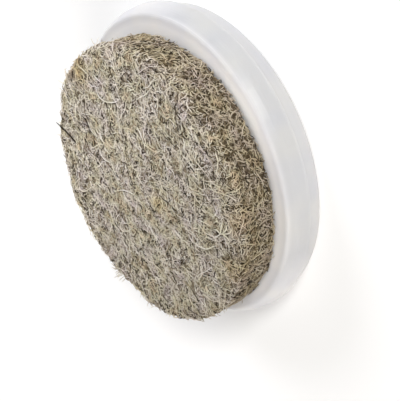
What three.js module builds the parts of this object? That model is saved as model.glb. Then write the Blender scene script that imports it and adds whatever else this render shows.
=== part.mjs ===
// Felt furniture glide: a round moulded plastic body in two tiers, with a thick disc of wool felt
// bonded to its flat front. Millimetres, +Z up. The glide lies on the plain flat back of the body
// with the felt facing up, and the origin is the centre of that back.

import * as THREE from 'three';

// Felt pad: cut from a thick sheet, a little wider at its front than where it is bonded
const feltRadius = 12;
const feltThickness = 4.1;
const feltTaper = 0.25;
const feltFrontRound = 0.55;
const feltBackRound = 0.12;

// How far the pad sits off the body's axis, along -X
const feltOffset = 0.3;

// Plastic body, from the back to the front
const rearTierHeight = 1.55;
const wideTierHeight = 1.3;
const shoulderHeight = 0.75;
const stepDepth = 0.6;
const wideTierDraft = 0.13;
const shoulderReach = 0.48;
const frontMargin = 1.27;

// Rounding of the corners, each measured along both sides of the corner
const backEdgeRound = 0.3;
const stepRootRound = 0.12;
const stepEdgeRound = 0.2;
const shoulderRound = 0.35;
const frontEdgeRound = 0.25;

const roundSteps = 3;
const turnSegments = 96;

// Radii and heights that follow from the sizes above
const feltBackRadius = feltRadius - feltTaper;
const frontRadius = feltBackRadius + frontMargin;
const shoulderRadius = frontRadius + shoulderReach;
const wideTierRadius = shoulderRadius + wideTierDraft;
const rearTierRadius = wideTierRadius - stepDepth;
const wideTierTop = rearTierHeight + wideTierHeight;
const bodyHeight = wideTierTop + shoulderHeight;

const plastic = new THREE.MeshStandardMaterial({ color: '#e9ebec', roughness: 0.42, metalness: 0 });
const felt = new THREE.MeshStandardMaterial({ color: '#a79d8d', roughness: 1, metalness: 0 });

// A corner of a turned outline: its radius, its height, and how far its rounding reaches
function corner(radius, height, round) {
  return { point: new THREE.Vector2(radius, height), round };
}

// Points along an outline that starts and ends on the axis, with its corners rounded
function roundedOutline(bottom, corners, top) {
  const stops = [new THREE.Vector2(0, bottom), ...corners.map((c) => c.point), new THREE.Vector2(0, top)];
  const path = new THREE.Path();
  path.moveTo(0, bottom);
  corners.forEach(({ point, round }, i) => {
    const start = stops[i].clone().sub(point).setLength(round).add(point);
    const end = stops[i + 2].clone().sub(point).setLength(round).add(point);
    path.lineTo(start.x, start.y);
    path.quadraticCurveTo(point.x, point.y, end.x, end.y);
  });
  path.lineTo(0, top);
  return path.getPoints(roundSteps);
}

// A solid turned about the Z axis
function turned(outline) {
  return new THREE.LatheGeometry(outline, turnSegments).rotateX(Math.PI / 2);
}

function glideBody() {
  const outline = roundedOutline(0, [
    corner(rearTierRadius, 0, backEdgeRound),
    corner(rearTierRadius, rearTierHeight, stepRootRound),
    corner(wideTierRadius, rearTierHeight, stepEdgeRound),
    corner(shoulderRadius, wideTierTop, shoulderRound),
    corner(frontRadius, bodyHeight, frontEdgeRound),
  ], bodyHeight);
  const mesh = new THREE.Mesh(turned(outline), plastic);
  mesh.name = 'glide_body';
  return mesh;
}

function feltPad() {
  const outline = roundedOutline(0, [
    corner(feltBackRadius, 0, feltBackRound),
    corner(feltRadius, feltThickness, feltFrontRound),
  ], feltThickness);
  const mesh = new THREE.Mesh(turned(outline), felt);
  mesh.name = 'felt_pad';
  mesh.position.set(-feltOffset, 0, bodyHeight);
  return mesh;
}

const glide = new THREE.Group();
glide.add(glideBody(), feltPad());

export default glide;
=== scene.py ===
"""Looks of the felt furniture glide: a satin moulded plastic body under a thick pad of pressed wool felt.

The pad is a matted core with thousands of separate wool fibres laid over it, in the colours of undyed wool.
Lamps, colours and tints were set towards the photograph's tones, so the tints that depend on the place are
painted light and shade as much as they describe the material, and the dark core and underlay are partly
painted shade.
"""

import math

import bmesh
import bpy
from mathutils import Euler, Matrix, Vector


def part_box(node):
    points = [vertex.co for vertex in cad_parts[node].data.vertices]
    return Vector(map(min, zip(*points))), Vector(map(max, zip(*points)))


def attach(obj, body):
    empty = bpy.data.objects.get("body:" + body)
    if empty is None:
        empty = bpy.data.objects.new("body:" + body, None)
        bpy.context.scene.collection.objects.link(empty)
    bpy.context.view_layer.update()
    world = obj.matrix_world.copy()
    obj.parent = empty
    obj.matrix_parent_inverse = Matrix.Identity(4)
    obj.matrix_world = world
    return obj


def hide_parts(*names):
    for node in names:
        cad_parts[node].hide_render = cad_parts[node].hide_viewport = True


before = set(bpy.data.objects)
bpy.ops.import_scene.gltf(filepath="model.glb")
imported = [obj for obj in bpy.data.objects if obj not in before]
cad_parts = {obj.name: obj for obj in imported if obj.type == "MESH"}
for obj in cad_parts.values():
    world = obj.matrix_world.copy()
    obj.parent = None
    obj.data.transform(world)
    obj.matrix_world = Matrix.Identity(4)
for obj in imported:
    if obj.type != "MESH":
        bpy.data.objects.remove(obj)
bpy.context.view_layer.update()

MM = 0.001

# The photograph's view: the camera looks down on the pad, and is rolled so that the glide leans in it
VIEW_ELEVATION = 31.85
VIEW_ROLL = -115.29
VIEW_DISTANCE = 100 * MM
LENS = 110.3
SENSOR = 36.0
# Where the centre of the pad's front face stands in the camera's own right and up directions
FACE_RIGHT = -4.85 * MM
FACE_UP = 1.38 * MM

# Soft studio light: three broad lamps in an even white room. Each lamp has its name, its colour, the
# direction that its light comes from, its strength, and how many degrees wide it is in the sky
LAMPS = (
    ("window_side", "#FFFEFB", (0.24, -0.84, 0.48), 1.90, 15),
    ("far_end", "#F9F9FF", (0.87, 0.06, 0.48), 1.20, 36),
    ("near_end", "#FFF7EE", (-0.85, -0.20, 0.48), 1.20, 50),
)
ROOM_STRENGTH = 0.37
FLOOR_RADIUS = 600 * MM
# Light that only the camera sees on the floor, so that it is white where no shadow lies
FLOOR_LIFT = 0.12

# The plastic's surface: the wall's slow waves, and the mould's grain, which is finer than the render can show
# and is drawn about 0.08 mm wide, half the size of its noise
GRAIN_SIZE = 0.16 * MM
WAVE_SIZE = 3.2 * MM
# Where painted light makes the plastic paler, in place of shade that falls there: on the front face inside
# these radii and above these heights, on the rear tier below these heights, and past these distances towards
# both ends of X
PAINTED_LIGHT_FRONT_RADII = (12.2 * MM, 13.3 * MM)
PAINTED_LIGHT_FRONT_HEIGHTS = (3.2 * MM, 3.5 * MM)
PAINTED_LIGHT_REAR_HEIGHTS = (1.4 * MM, 1.7 * MM)
PAINTED_LIGHT_END_REACHES = (10.2 * MM, 13 * MM)
# How much painted light the rear tier and the ends get, where the front face's is 1
REAR_PAINTED_LIGHT = 0.1
END_PAINTED_LIGHT = 0.45

# The pad, from the frame: its solid stands on the body's front and its rim is rounded
PAD_LOW, PAD_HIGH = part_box("felt_pad")
PAD_CENTRE = (PAD_LOW + PAD_HIGH) / 2

# The felt's colour: the patches of the blended wool, and the noise in its matted inside
PATCH_SIZE = 1.6 * MM
CLUMP_SIZE = 0.5 * MM
STRAND_SIZE = 0.2 * MM
# Where the felt is browner, its cut side's own tone, and darker with painted shade that deepens towards the
# plastic:
# past these radii, and most of all below these depths under the front face
SIDE_RADII = (10.7 * MM, 11.3 * MM)
SIDE_SHADE_DEPTHS = (1.1 * MM, 0.6 * MM)
RIM_BROWN_AND_SHADE = 0.5
# Where painted shade makes the felt darker along X, from the darkest place to the first one with its own tone
PAINTED_SHADE_END = (-11 * MM, 5 * MM)
# Places in millimetres, each with its reach, where the photograph shows more of the tan wool, and the
# share of the reach in which the tan is full
TAN_SPOTS = (((-2.1, -1.2, 7.6), 1.4), ((-6.0, -10.4, 7.3), 1.8), ((-9.6, -7.2, 7.3), 1.8),
             ((10.6, 1.4, 7.5), 2.2))
TAN_MIDDLE = 0.2

# The core of the pad: the size of its mesh, and of the lumps and tufts in its skin
WELD_DISTANCE = 0.001 * MM
SKIN_STEP = 0.25 * MM
LUMPS = {"Inset": 0.19 * MM, "Lump Height": 0.5 * MM, "Lump Size": 2.2 * MM, "Tuft Height": 0.35 * MM,
         "Tuft Size": 0.5 * MM}

# The fibres: how many sides their section has, how thin their ends are as a share of the middle, and where
# they reach their full width, on an arch that is 0 at the ends and 1 in the middle
FIBRE_SIDES = 3
TIP_SHARE = 0.35
TAPER_END = 0.6
# A single wool fibre is 0.02 to 0.04 mm thick, too fine to show, so all are drawn about this thick, as the
# photograph's strands look. Half of it keeps them clear of the plastic
FIBRE_THICKNESS = 0.085 * MM
# They lie in streams that wander with the place, each turned from its stream by radians in this range
STREAM_SIZE = 3.5 * MM
STREAM_TURNS = (-0.7, 2.3)
# None grow where the skin faces down more than this. On the pad's side they are this share of their length
# on its face, which begins where the skin faces up this much
LOWEST_FACING = -0.5
SIDE_SHARE = 0.45
FACE_FACING = 0.8
# Points along a hair that is drawn one by one
HAIR_POINTS = 12

# Shapes of fibre. Bends is how many points it has, Tilt is how many radians it leans off the skin at most, and
# Looseness is the share of its distance from the skin that is left when it is drawn back
SHORT = {"Shortest": 0.5 * MM, "Longest": 1.2 * MM, "Curl": 1.0 * MM, "Curl Size": 0.6 * MM, "Bends": 4,
         "Lift": 0.1 * MM, "Tilt": 0.25, "Looseness": 0.6, "Thickness": 0.08 * MM}
CURLY = {"Shortest": 0.6 * MM, "Longest": 1.6 * MM, "Curl": 1.3 * MM, "Curl Size": 0.65 * MM, "Bends": 6,
         "Lift": 0.3 * MM, "Tilt": 0.25, "Looseness": 0.55, "Thickness": 0.088 * MM}
LONG = {"Shortest": 1.8 * MM, "Longest": 3.6 * MM, "Curl": 1.6 * MM, "Curl Size": 1.6 * MM, "Bends": 10,
        "Lift": 0.4 * MM, "Tilt": 0.15, "Looseness": 0.6, "Thickness": 0.092 * MM}
STRAY = {"Shortest": 0.6 * MM, "Longest": 1.4 * MM, "Curl": 1.2 * MM, "Curl Size": 0.8 * MM, "Bends": 6,
         "Lift": 0.4 * MM, "Tilt": 0.9, "Looseness": 1.0, "Thickness": 0.05 * MM}

# Dark, middle and light shades of each wool
WOOLS = {
    "cream": ("#ECE4D8", "#F7F1E8", "#FFFDF8"),
    "grey": ("#A8A197", "#D2CBC2", "#F1EBE4"),
    "brown": ("#87796A", "#B2A794", "#D2C8B5"),
    # The taupe is drawn darker than the wool is, as painted shade deep under the other fibres
    "taupe_and_shade": ("#665D52", "#877D70", "#AAA093"),
    "dark": ("#241D12", "#40372A", "#645946"),
}

# Lots of fibre that are laid over the core: name, wool, shape, fibres per square metre, and seed
LOTS = (
    # Its wool is drawn dark as painted shade under the other lots
    ("underlay_in_painted_shade", "taupe_and_shade", SHORT, 9.0e6, 11),
    ("cream_fibres", "cream", CURLY, 8.4e6, 37),
    ("ecru_fibres", "cream", CURLY, 5.5e6, 47),
    ("grey_fibres", "grey", CURLY, 7.6e6, 41),
    ("brown_fibres", "brown", CURLY, 6.0e6, 59),
    ("dark_fibres", "dark", CURLY, 5.1e6, 83),
    ("long_hairs", "cream", LONG, 0.65e6, 97),
    ("stray_hairs", "cream", STRAY, 0.8e6, 113),
)

# Hairs that the photograph shows one by one, as lines in millimetres: the dark one, the tangle with some
# long pale ones, and the tuft
DARK_HAIR = (
    ((8.20, 8.26, 8.00), (7.60, 7.90, 7.95), (7.12, 7.64, 7.90), (6.51, 7.29, 7.85), (5.83, 6.93, 7.85),
     (5.31, 6.94, 7.70)),
)
LIGHT_HAIRS = (
    ((-6.26, -8.14, 7.95), (-5.99, -8.06, 7.95), (-5.80, -7.68, 7.80)),
    ((-6.29, -8.26, 7.95), (-6.34, -7.75, 7.95), (-6.40, -7.00, 7.80)),
    ((-6.23, -7.93, 7.90), (-6.40, -8.86, 8.00), (-6.47, -9.47, 7.95), (-6.26, -9.72, 7.80)),
    ((-6.22, -8.33, 7.95), (-6.54, -8.74, 8.00), (-6.84, -8.86, 7.95), (-7.18, -8.63, 7.80)),
    ((-6.33, -8.08, 7.95), (-5.94, -8.65, 8.00), (-5.56, -8.82, 7.80)),
    ((-6.32, -8.39, 7.95), (-6.15, -9.14, 7.95), (-5.91, -9.27, 7.80)),
    ((11.15, 1.01, 7.80), (10.47, 0.20, 7.95), (9.69, -0.09, 7.80)),
    ((9.55, -0.75, 7.80), (9.05, -1.32, 7.95), (8.51, -1.44, 7.80)),
    ((8.56, -0.50, 7.80), (8.14, -0.26, 7.90), (7.53, -0.52, 7.95), (7.04, -1.19, 7.95),
     (6.68, -2.26, 7.90), (6.73, -3.07, 7.80)),
    ((-4.62, -5.87, 7.80), (-5.04, -6.86, 7.95), (-5.54, -7.29, 7.80)),
    ((-6.17, -3.98, 7.80), (-6.60, -4.66, 7.95), (-6.95, -5.48, 7.95), (-6.97, -6.50, 7.80)),
    ((0.47, 4.67, 7.80), (0.24, 2.82, 7.95), (-0.33, 1.65, 7.95), (-1.00, 1.06, 7.80)),
    ((3.95, 3.73, 7.80), (3.25, 3.35, 7.95), (2.67, 2.82, 7.80)),
)
TUFT = (
    ((-6.04, 9.81, 7.50), (-5.69, 9.74, 7.90), (-5.62, 10.13, 8.10)),
    ((-6.24, 9.80, 7.50), (-6.21, 10.06, 7.90), (-6.28, 10.80, 8.10)),
    ((-6.55, 9.70, 7.50), (-6.56, 9.98, 7.80), (-6.70, 10.36, 8.00)),
    ((-5.73, 9.91, 7.50), (-5.50, 9.94, 7.80), (-5.19, 10.08, 8.00)),
    ((-5.97, 9.92, 7.40), (-5.97, 10.01, 7.80), (-6.10, 10.39, 8.00)),
    ((-6.36, 9.90, 7.40), (-6.33, 10.16, 7.80), (-6.30, 10.38, 8.00)),
    ((-6.67, 9.80, 7.40), (-6.79, 9.79, 7.80), (-6.88, 10.11, 7.90)),
    ((-5.85, 10.02, 7.40), (-5.86, 10.10, 7.80), (-5.91, 10.60, 7.90)),
    ((-5.54, 10.12, 7.40), (-5.55, 10.40, 7.70), (-5.52, 10.62, 7.90)),
)


def linear(code, alpha=1.0):
    """A colour written as sRGB hex, as linear values."""
    channels = [int(code[i:i + 2], 16) / 255 for i in (1, 3, 5)]
    return [c / 12.92 if c <= 0.04045 else ((c + 0.055) / 1.055) ** 2.4 for c in channels] + [alpha]


def add(tree, kind, inputs=None, stops=(), **settings):
    """Adds a node to a tree, with its settings, its inputs and a colour ramp's (place, hex) stops.

    An input is a value, a socket to link from, or a node, which gives its first output.
    """
    made = tree.nodes.new(kind)
    for name, value in settings.items():
        setattr(made, name, value)
    for key, value in (inputs or {}).items():
        if isinstance(value, bpy.types.Node):
            value = value.outputs[0]
        if isinstance(value, bpy.types.NodeSocket):
            tree.links.new(value, made.inputs[key])
        else:
            made.inputs[key].default_value = value
    if stops:
        elements = made.color_ramp.elements
        while len(elements) < len(stops):
            elements.new(0.5)
        for element, (place, code) in zip(elements, stops):
            element.position = place
            element.color = linear(code)
    return made


def new_material(name):
    """An empty node material and its output."""
    material = bpy.data.materials.new(name)
    material.use_nodes = True
    material.node_tree.nodes.clear()
    return material, add(material.node_tree, "ShaderNodeOutputMaterial")


def axis_distance(tree, place):
    """How far a place is from the Z axis."""
    flat = add(tree, "ShaderNodeVectorMath", {0: place, 1: (1.0, 1.0, 0.0)}, operation="MULTIPLY")
    return add(tree, "ShaderNodeVectorMath", {0: flat}, operation="LENGTH").outputs["Value"]


def moulded_polyethylene():
    """Injection-moulded white polyethylene: waxy, a little see-through, with a satin grain from the mould."""
    material, out = new_material("moulded_polyethylene")
    tree = material.node_tree
    place = add(tree, "ShaderNodeTexCoord").outputs["Object"]
    grain = add(tree, "ShaderNodeTexNoise", {
        "Vector": place, "Scale": 1 / GRAIN_SIZE, "Detail": 3.0, "Roughness": 0.6})
    waves = add(tree, "ShaderNodeTexNoise", {"Vector": place, "Scale": 1 / WAVE_SIZE, "Detail": 1.0})
    grain_bump = add(tree, "ShaderNodeBump", {"Height": grain, "Strength": 0.12, "Distance": 0.02 * MM})
    wave_bump = add(tree, "ShaderNodeBump", {
        "Height": waves, "Strength": 0.35, "Distance": 0.12 * MM, "Normal": grain_bump})
    satin = add(tree, "ShaderNodeMapRange", {
        "Value": grain, "From Min": 0.3, "From Max": 0.7, "To Min": 0.36, "To Max": 0.48})

    # Painted light: paler on the front face beside the felt, the rear tier and the ends, to match the
    # photograph
    spot = add(tree, "ShaderNodeSeparateXYZ", {0: place}).outputs
    inside = add(tree, "ShaderNodeMapRange", {
        "Value": axis_distance(tree, place), "From Min": PAINTED_LIGHT_FRONT_RADII[0], "From Max": PAINTED_LIGHT_FRONT_RADII[1],
        "To Min": 1.0, "To Max": 0.0})
    above = add(tree, "ShaderNodeMapRange", {
        "Value": spot["Z"], "From Min": PAINTED_LIGHT_FRONT_HEIGHTS[0], "From Max": PAINTED_LIGHT_FRONT_HEIGHTS[1]})
    front = add(tree, "ShaderNodeMath", {0: inside, 1: above}, operation="MULTIPLY")
    rear = add(tree, "ShaderNodeMapRange", {
        "Value": spot["Z"], "From Min": PAINTED_LIGHT_REAR_HEIGHTS[0], "From Max": PAINTED_LIGHT_REAR_HEIGHTS[1],
        "To Min": REAR_PAINTED_LIGHT, "To Max": 0.0})
    along = add(tree, "ShaderNodeMath", {0: spot["X"]}, operation="ABSOLUTE")
    ends = add(tree, "ShaderNodeMapRange", {
        "Value": along, "From Min": PAINTED_LIGHT_END_REACHES[0], "From Max": PAINTED_LIGHT_END_REACHES[1],
        "To Min": 0.0, "To Max": END_PAINTED_LIGHT})
    painted_light_rims = add(tree, "ShaderNodeMath", {0: front, 1: rear}, operation="MAXIMUM")
    pale = add(tree, "ShaderNodeMath", {0: painted_light_rims, 1: ends}, operation="MAXIMUM")
    base_and_painted_light = add(tree, "ShaderNodeValToRGB", {"Fac": pale}, stops=(
        (0.0, "#CBCCCC"), (0.4, "#E5E5E5"), (1.0, "#FDFCFA")))
    white = add(tree, "ShaderNodeValToRGB", {"Fac": waves}, stops=((0.35, "#F4F4F8"), (0.65, "#FAF9F9")))
    tint = add(tree, "ShaderNodeVectorMath", {0: white, 1: base_and_painted_light}, operation="MULTIPLY")
    shader = add(tree, "ShaderNodeBsdfPrincipled", {
        "Base Color": tint, "Roughness": satin, "IOR": 1.51, "Subsurface Weight": 1.0,
        "Subsurface Radius": (1.0, 0.97, 0.93), "Subsurface Scale": 0.6 * MM, "Normal": wave_bump})
    tree.links.new(shader.outputs[0], out.inputs["Surface"])
    return material


def blended(tree, colour):
    """A wool colour in its place on the pad: patches of straw and lilac-grey, and the photograph's tints,
    among them painted shade on the side and at one end of X.
    """
    place = add(tree, "ShaderNodeTexCoord").outputs["Object"]
    spot = add(tree, "ShaderNodeSeparateXYZ", {0: place}).outputs
    patch = add(tree, "ShaderNodeTexNoise", {"Vector": place, "Scale": 1 / PATCH_SIZE, "Detail": 2.0})
    tint = add(tree, "ShaderNodeValToRGB", {"Fac": patch}, stops=(
        (0.32, "#F8EEDC"), (0.4, "#F2F1E0"), (0.5, "#FCFAF4"), (0.62, "#FBF8F8"), (0.7, "#F4EEF3")))

    # The cut side is browner than the face and darker with painted shade below the front, and the rim is
    # between the two
    across = add(tree, "ShaderNodeVectorMath", {0: place, 1: PAD_CENTRE}, operation="SUBTRACT")
    edge = add(tree, "ShaderNodeMapRange", {
        "Value": axis_distance(tree, across), "From Min": SIDE_RADII[0], "From Max": SIDE_RADII[1]})
    depth = add(tree, "ShaderNodeMapRange", {
        "Value": spot["Z"], "From Min": PAD_HIGH.z - SIDE_SHADE_DEPTHS[0],
        "From Max": PAD_HIGH.z - SIDE_SHADE_DEPTHS[1], "To Min": 1.0, "To Max": RIM_BROWN_AND_SHADE})
    side = add(tree, "ShaderNodeMath", {0: edge, 1: depth}, operation="MULTIPLY")
    brown = add(tree, "ShaderNodeValToRGB", {"Fac": side}, stops=(
        (0.0, "#FBFBFB"), (RIM_BROWN_AND_SHADE, "#F7F5F1"), (0.7, "#E9E2D6"), (1.0, "#D9D2C5")))
    shade = add(tree, "ShaderNodeVectorMath", {0: tint, 1: brown}, operation="MULTIPLY")

    for centre, reach in TAN_SPOTS:
        away = add(tree, "ShaderNodeVectorMath", {0: place, 1: Vector(centre) * MM}, operation="DISTANCE")
        near = add(tree, "ShaderNodeMapRange", {
            "Value": away.outputs["Value"], "From Min": TAN_MIDDLE * reach * MM, "From Max": reach * MM})
        tan = add(tree, "ShaderNodeValToRGB", {"Fac": near}, stops=((0.0, "#F8F0DE"), (1.0, "#FFFFFF")))
        shade = add(tree, "ShaderNodeVectorMath", {0: shade, 1: tan}, operation="MULTIPLY")

    # Painted shade: darker towards the felt's end at -X
    end = add(tree, "ShaderNodeMapRange", {
        "Value": spot["X"], "From Min": PAINTED_SHADE_END[0], "From Max": PAINTED_SHADE_END[1]})
    painted_end_shade = add(tree, "ShaderNodeValToRGB", {"Fac": end}, stops=((0.0, "#E0DFDC"), (1.0, "#FFFFFF")))
    shade = add(tree, "ShaderNodeVectorMath", {0: shade, 1: painted_end_shade}, operation="MULTIPLY")
    return add(tree, "ShaderNodeVectorMath", {0: shade, 1: colour}, operation="MULTIPLY")


def wool(name, dark, middle, light):
    """Undyed wool fibre: each one has its own shade, and the scales on it scatter the light softly."""
    material, out = new_material(name)
    tree = material.node_tree
    shade = add(tree, "ShaderNodeAttribute", attribute_name="fibre_shade").outputs["Fac"]
    own = add(tree, "ShaderNodeValToRGB", {"Fac": shade}, stops=((0.0, dark), (0.5, middle), (1.0, light)))
    shader = add(tree, "ShaderNodeBsdfPrincipled", {
        "Base Color": blended(tree, own), "Roughness": 0.8, "IOR": 1.55, "Specular IOR Level": 0.2,
        "Sheen Weight": 0.1, "Sheen Roughness": 0.5, "Sheen Tint": linear("#F1E4CC")})
    tree.links.new(shader.outputs[0], out.inputs["Surface"])
    return material


def matted_wool_and_painted_shade():
    """The matted inside of the felt, seen between the fibres: a mix of brown, grey and beige wool, drawn dark
    as painted shade.
    """
    material, out = new_material("matted_wool_and_painted_shade")
    tree = material.node_tree
    place = add(tree, "ShaderNodeTexCoord").outputs["Object"]
    mottle = add(tree, "ShaderNodeTexNoise", {
        "Vector": place, "Scale": 1 / CLUMP_SIZE, "Detail": 4.0, "Roughness": 0.7})
    # Its dark tones are painted shade in the gaps between the fibres
    tint = add(tree, "ShaderNodeValToRGB", {"Fac": mottle}, stops=(
        (0.3, "#352D20"), (0.5, "#685D4B"), (0.7, "#A29680")))
    strands = add(tree, "ShaderNodeTexNoise", {"Vector": place, "Scale": 1 / STRAND_SIZE, "Detail": 2.0})
    bump = add(tree, "ShaderNodeBump", {"Height": strands, "Strength": 0.8, "Distance": 0.1 * MM})
    shader = add(tree, "ShaderNodeBsdfPrincipled", {
        "Base Color": blended(tree, tint), "Roughness": 0.95, "Normal": bump})
    tree.links.new(shader.outputs[0], out.inputs["Surface"])
    return material


def floor_white():
    """Matt white board that the camera sees as white where no shadow lies on it."""
    material, out = new_material("white_board")
    tree = material.node_tree
    board = add(tree, "ShaderNodeBsdfDiffuse", {"Color": linear("#FAFAFA")})
    seen = add(tree, "ShaderNodeLightPath").outputs["Is Camera Ray"]
    lift = add(tree, "ShaderNodeMath", {0: seen, 1: FLOOR_LIFT}, operation="MULTIPLY")
    glow = add(tree, "ShaderNodeEmission", {"Strength": lift})
    both = add(tree, "ShaderNodeAddShader", {0: board, 1: glow})
    tree.links.new(both.outputs[0], out.inputs["Surface"])
    return material


def place_object(name, mesh, material):
    """Puts a mesh into the scene with one material."""
    piece = bpy.data.objects.new(name, mesh)
    bpy.context.scene.collection.objects.link(piece)
    mesh.materials.clear()
    mesh.materials.append(material)
    return piece


def applied(piece):
    """Turns a piece's modifiers into its plain mesh."""
    graph = bpy.context.evaluated_depsgraph_get()
    mesh = bpy.data.meshes.new_from_object(piece.evaluated_get(graph))
    piece.modifiers.clear()
    piece.data = mesh
    return piece


def tree_with_inputs(name, numbers, counts=()):
    """An empty geometry tree. Its modifier inputs are the geometry, numbers, counts and a material."""
    tree = bpy.data.node_groups.new(name, "GeometryNodeTree")
    kinds = {"Geometry": "Geometry", **dict.fromkeys(numbers, "Float"), **dict.fromkeys(counts, "Int"),
             "Material": "Material"}
    for label, kind in kinds.items():
        tree.interface.new_socket(name=label, in_out="INPUT", socket_type=f"NodeSocket{kind}")
    tree.interface.new_socket(name="Geometry", in_out="OUTPUT", socket_type="NodeSocketGeometry")
    return tree, add(tree, "NodeGroupInput").outputs, add(tree, "NodeGroupOutput")


def grow(piece, tree, values):
    """Puts a geometry tree on a piece with its inputs set, and applies it."""
    modifier = piece.modifiers.new(tree.name, "NODES")
    modifier.node_group = tree
    for item in tree.interface.items_tree:
        if item.in_out == "INPUT" and item.name in values:
            modifier[item.identifier] = values[item.name]
    return applied(piece)


def above_foot(tree, place, foot):
    """A place, raised to the foot's height where it is lower. A metre below zero is under every X and Y."""
    lowest = add(tree, "ShaderNodeCombineXYZ", {"X": -1.0, "Y": -1.0, "Z": foot})
    return add(tree, "ShaderNodeVectorMath", {0: place, 1: lowest}, operation="MAXIMUM")


def dress(tree, felt, value, out):
    """Ends a tree: smooths the felt's mesh and gives it its wool."""
    smooth = add(tree, "GeometryNodeSetShadeSmooth", {"Geometry": felt})
    whole = add(tree, "GeometryNodeRealizeInstances", {"Geometry": smooth})
    dressed = add(tree, "GeometryNodeSetMaterial", {"Geometry": whole, "Material": value["Material"]})
    tree.links.new(dressed.outputs[0], out.inputs["Geometry"])


def lumpy_tree():
    """Pushes a skin in and out along its normals, in slow lumps and finer tufts, and keeps its foot flat."""
    tree, value, out = tree_with_inputs(
        "felt_lumps", ("Inset", "Lump Height", "Lump Size", "Tuft Height", "Tuft Size", "Foot"))
    place = add(tree, "GeometryNodeInputPosition")
    normal = add(tree, "GeometryNodeInputNormal")
    swings = []
    for height, size in (("Lump Height", "Lump Size"), ("Tuft Height", "Tuft Size")):
        fineness = add(tree, "ShaderNodeMath", {0: 1.0, 1: value[size]}, operation="DIVIDE")
        bumps = add(tree, "ShaderNodeTexNoise", {"Vector": place, "Scale": fineness, "Detail": 2.0})
        centred = add(tree, "ShaderNodeMath", {0: bumps, 1: 0.5}, operation="SUBTRACT")
        swings.append(add(tree, "ShaderNodeMath", {0: centred, 1: value[height]}, operation="MULTIPLY"))
    swing = add(tree, "ShaderNodeMath", dict(enumerate(swings)), operation="ADD")
    reach = add(tree, "ShaderNodeMath", {0: swing, 1: value["Inset"]}, operation="SUBTRACT")
    push = add(tree, "ShaderNodeVectorMath", {0: normal, "Scale": reach}, operation="SCALE")
    moved = add(tree, "ShaderNodeVectorMath", {0: place, 1: push}, operation="ADD")
    shaped = add(tree, "GeometryNodeSetPosition", {
        "Geometry": value["Geometry"], "Position": above_foot(tree, moved, value["Foot"])})
    dress(tree, shaped, value, out)
    return tree


def spin(tree, curve, value, out):
    """Ends a tree: gives its curves the thickness of a fibre, finer at both ends, and their wool."""
    along = add(tree, "GeometryNodeSplineParameter")
    half_turn = add(tree, "ShaderNodeMath", {0: along, 1: math.pi}, operation="MULTIPLY")
    arch = add(tree, "ShaderNodeMath", {0: half_turn}, operation="SINE")
    taper = add(tree, "ShaderNodeMapRange", {
        "Value": arch, "From Max": TAPER_END, "To Min": TIP_SHARE, "To Max": 1.0})
    half = add(tree, "ShaderNodeMath", {0: value["Thickness"], 1: 0.5}, operation="MULTIPLY")
    wide = add(tree, "ShaderNodeMath", {0: taper, 1: half}, operation="MULTIPLY")
    section = add(tree, "GeometryNodeCurvePrimitiveCircle", {"Resolution": FIBRE_SIDES, "Radius": 1.0})
    tubes = add(tree, "GeometryNodeCurveToMesh", {
        "Curve": curve, "Profile Curve": section, "Scale": wide, "Fill Caps": True})
    dress(tree, tubes, value, out)


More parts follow.
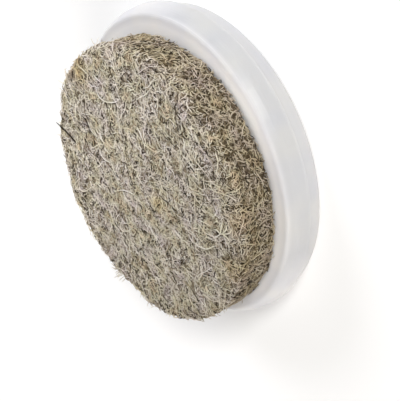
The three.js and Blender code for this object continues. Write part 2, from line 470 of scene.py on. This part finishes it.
def fibre_tree():
    """Lays curled fibres over a skin and draws them back towards it, as milling mats wool into felt."""
    tree, value, out = tree_with_inputs(
        "wool_fibres", ("Fibres per Area", "Shortest", "Longest", "Thickness", "Curl", "Curl Size", "Lift",
                        "Tilt", "Looseness", "Foot"), counts=("Bends", "Seed"))

    def chance(low, high, offset):
        """A random number for each fibre, from its own draw."""
        seed = add(tree, "FunctionNodeIntegerMath", {0: value["Seed"], 1: offset}, operation="ADD")
        draw = add(tree, "FunctionNodeRandomValue", {2: low, 3: high, 8: seed}, data_type="FLOAT")
        return draw.outputs[1]

    # Where each fibre starts
    place = add(tree, "GeometryNodeInputPosition")
    skin = add(tree, "ShaderNodeSeparateXYZ", {0: add(tree, "GeometryNodeInputNormal")}).outputs
    open_side = add(tree, "ShaderNodeMath", {0: skin["Z"], 1: LOWEST_FACING}, operation="GREATER_THAN")
    spread = add(tree, "GeometryNodeDistributePointsOnFaces", {
        "Mesh": value["Geometry"], "Density": value["Fibres per Area"], "Seed": value["Seed"],
        "Selection": open_side}).outputs
    rise = add(tree, "ShaderNodeVectorMath", {
        0: spread["Normal"], "Scale": chance(0.0, value["Lift"], 1)}, operation="SCALE")
    points = add(tree, "GeometryNodeSetPosition", {"Geometry": spread["Points"], "Offset": rise})

    # Its shade, its number, and its share of the length and curl that it would have on the face
    facing = add(tree, "ShaderNodeSeparateXYZ", {0: spread["Normal"]}).outputs
    share = add(tree, "ShaderNodeMapRange", {
        "Value": facing["Z"], "From Max": FACE_FACING, "To Min": SIDE_SHARE, "To Max": 1.0})
    for name, number in (("fibre_shade", chance(0.0, 1.0, 2)), ("fibre_number", chance(0.0, 1000.0, 3)),
                         ("fibre_spread", share)):
        points = add(tree, "GeometryNodeStoreNamedAttribute", {
            "Geometry": points, "Name": name, "Value": number}, data_type="FLOAT", domain="POINT")

    # Which way it lies, and how long it is
    stream = add(tree, "ShaderNodeTexNoise", {"Vector": place, "Scale": 1 / STREAM_SIZE, "Detail": 1.0})
    course = add(tree, "ShaderNodeMath", {
        0: stream, 1: 2 * math.pi, 2: chance(*STREAM_TURNS, 5)}, operation="MULTIPLY_ADD")
    lean = add(tree, "ShaderNodeMath", {0: value["Tilt"], 1: -1.0}, operation="MULTIPLY")
    angles = add(tree, "ShaderNodeCombineXYZ", {"Y": chance(lean, value["Tilt"], 4), "Z": course})
    turn = add(tree, "FunctionNodeEulerToRotation", {0: angles})
    aimed = add(tree, "FunctionNodeRotateRotation", {
        0: spread["Rotation"], 1: turn}, rotation_space="LOCAL")
    extent = add(tree, "ShaderNodeMath", {
        0: chance(value["Shortest"], value["Longest"], 6), 1: share}, operation="MULTIPLY")
    length = add(tree, "ShaderNodeCombineXYZ", {"X": extent, "Y": 1.0, "Z": 1.0})
    line = add(tree, "GeometryNodeCurvePrimitiveLine", {"Start": (-0.5, 0, 0), "End": (0.5, 0, 0)})
    bends = add(tree, "GeometryNodeResampleCurve", {"Curve": line, "Count": value["Bends"]})
    laid = add(tree, "GeometryNodeInstanceOnPoints", {
        "Points": points, "Instance": bends, "Rotation": aimed, "Scale": length})
    loose = add(tree, "GeometryNodeRealizeInstances", {"Geometry": laid})

    # Its curl, which its number sets
    number, share = (add(tree, "GeometryNodeInputNamedAttribute", {"Name": name}, data_type="FLOAT")
                     for name in ("fibre_number", "fibre_spread"))
    fineness = add(tree, "ShaderNodeMath", {0: 1.0, 1: value["Curl Size"]}, operation="DIVIDE")
    swirl = add(tree, "ShaderNodeTexNoise", {
        "Vector": place, "W": number, "Scale": fineness, "Detail": 1.0}, noise_dimensions="4D")
    centred = add(tree, "ShaderNodeVectorMath", {
        0: swirl.outputs["Color"], 1: (0.5, 0.5, 0.5)}, operation="SUBTRACT")
    reach = add(tree, "ShaderNodeMath", {0: share, 1: value["Curl"]}, operation="MULTIPLY")
    swing = add(tree, "ShaderNodeVectorMath", {0: centred, "Scale": reach}, operation="SCALE")
    curled = add(tree, "GeometryNodeSetPosition", {"Geometry": loose, "Offset": swing})

    # How far it is drawn back to the skin
    nearest = add(tree, "GeometryNodeProximity", {0: value["Geometry"]}, target_element="FACES")
    away = add(tree, "ShaderNodeVectorMath", {0: place, 1: nearest}, operation="SUBTRACT")
    kept = add(tree, "ShaderNodeVectorMath", {0: away, "Scale": value["Looseness"]}, operation="SCALE")
    drawn = add(tree, "ShaderNodeVectorMath", {0: nearest, 1: kept}, operation="ADD")
    matted = add(tree, "GeometryNodeSetPosition", {
        "Geometry": curled, "Position": above_foot(tree, drawn, value["Foot"])})
    spin(tree, matted, value, out)
    return tree


def drawn_tree():
    """Rounds lines drawn from point to point into loose hairs."""
    tree, value, out = tree_with_inputs("drawn_hairs", ("Thickness", "Shade"))
    line = add(tree, "GeometryNodeMeshToCurve", {"Mesh": value["Geometry"]})
    bent = add(tree, "GeometryNodeCurveSplineType", {"Curve": line}, spline_type="CATMULL_ROM")
    even = add(tree, "GeometryNodeResampleCurve", {"Curve": bent, "Count": HAIR_POINTS})
    shaded = add(tree, "GeometryNodeStoreNamedAttribute", {
        "Geometry": even, "Name": "fibre_shade", "Value": value["Shade"]}, data_type="FLOAT", domain="POINT")
    spin(tree, shaded, value, out)
    return tree


def pad_core(material):
    """The matted core of the pad, remeshed from the frame's solid and made lumpy."""
    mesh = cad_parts["felt_pad"].data.copy()
    shape = bmesh.new()
    shape.from_mesh(mesh)
    bmesh.ops.remove_doubles(shape, verts=shape.verts, dist=WELD_DISTANCE)
    shape.to_mesh(mesh)
    shape.free()
    core = place_object("felt_core", mesh, material)
    remesh = core.modifiers.new("even_skin", "REMESH")
    remesh.mode = "VOXEL"
    remesh.voxel_size = SKIN_STEP
    applied(core)
    return grow(core, lumpy_tree(), {"Foot": PAD_LOW.z, "Material": material, **LUMPS})


def pad_fibres(name, core, tree, material, sizes, density, seed):
    """One lot of loose fibres over the core."""
    lot = place_object(name, core.data.copy(), material)
    return grow(lot, tree, {
        "Foot": PAD_LOW.z + FIBRE_THICKNESS / 2, "Material": material,
        "Fibres per Area": density, "Seed": seed, **sizes})


def drawn_hairs(name, tree, material, lines, thickness, shade):
    """Hairs laid one by one, along lines given in millimetres."""
    mesh = bpy.data.meshes.new(name)
    points = [Vector(point) * MM for line in lines for point in line]
    edges = []
    first = 0
    for line in lines:
        edges += [(first + i, first + i + 1) for i in range(len(line) - 1)]
        first += len(line)
    mesh.from_pydata(points, edges, [])
    hairs = place_object(name, mesh, material)
    return grow(hairs, tree, {"Thickness": thickness, "Shade": shade, "Material": material})


def camera():
    """The camera at the photograph's view of the pad and body."""
    data = bpy.data.cameras.new("camera")
    data.sensor_width = SENSOR
    data.lens = LENS
    data.clip_start = 10 * MM
    data.clip_end = 5.0
    eye = bpy.data.objects.new("camera", data)
    bpy.context.scene.collection.objects.link(eye)
    tilt = Euler((math.radians(90 - VIEW_ELEVATION), 0, 0)).to_matrix()
    roll = Euler((0, 0, math.radians(VIEW_ROLL))).to_matrix()
    turned = tilt @ roll
    face = Vector((0, 0, PAD_HIGH.z))
    eye.matrix_world = turned.to_4x4()
    eye.location = face - turned @ Vector((FACE_RIGHT, FACE_UP, -VIEW_DISTANCE))
    bpy.context.scene.camera = eye


def studio():
    """The floor, the lamps and the room's even light, which the camera sees as white."""
    mesh = bpy.data.meshes.new("floor")
    shape = bmesh.new()
    bmesh.ops.create_circle(shape, cap_ends=True, segments=96, radius=FLOOR_RADIUS)
    shape.to_mesh(mesh)
    shape.free()
    place_object("floor", mesh, floor_white())
    for name, colour, direction, strength, breadth in LAMPS:
        lamp = bpy.data.lights.new(name, "SUN")
        lamp.color = linear(colour)[:3]
        lamp.energy = strength
        lamp.angle = math.radians(breadth)
        stand = bpy.data.objects.new(name, lamp)
        stand.rotation_euler = Vector(direction).to_track_quat("Z", "Y").to_euler()
        bpy.context.scene.collection.objects.link(stand)
    world = bpy.data.worlds.new("room")
    bpy.context.scene.world = world
    world.use_nodes = True
    tree = world.node_tree
    tree.nodes.clear()
    paths = add(tree, "ShaderNodeLightPath").outputs
    seen = add(tree, "ShaderNodeMath", {
        0: paths["Is Camera Ray"], 1: paths["Is Transmission Ray"]}, operation="MAXIMUM")
    strength = add(tree, "ShaderNodeMapRange", {"Value": seen, "To Min": ROOM_STRENGTH, "To Max": 1.0})
    light = add(tree, "ShaderNodeBackground", {"Color": linear("#FFFFFF"), "Strength": strength})
    add(tree, "ShaderNodeOutputWorld", {"Surface": light})


camera()
studio()
bpy.context.scene.view_settings.view_transform = "Standard"

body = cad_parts["glide_body"]
body.data.materials.clear()
body.data.materials.append(moulded_polyethylene())

core = pad_core(matted_wool_and_painted_shade())
wools = {name: wool(f"{name}_wool", *shades) for name, shades in WOOLS.items()}
fibres = fibre_tree()
hairs = drawn_tree()
pieces = [core]
for name, colour, shape, density, seed in LOTS:
    pieces.append(pad_fibres(name, core, fibres, wools[colour], shape, density, seed))
pieces.append(drawn_hairs("dark_hair", hairs, wools["dark"], DARK_HAIR, thickness=0.16 * MM, shade=0.1))
pieces.append(drawn_hairs("light_hairs", hairs, wools["cream"], LIGHT_HAIRS, thickness=0.12 * MM, shade=1.0))
pieces.append(drawn_hairs("tuft", hairs, wools["grey"], TUFT, thickness=0.07 * MM, shade=0.4))

for piece in pieces:
    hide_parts("felt_pad")
    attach(piece, "root")
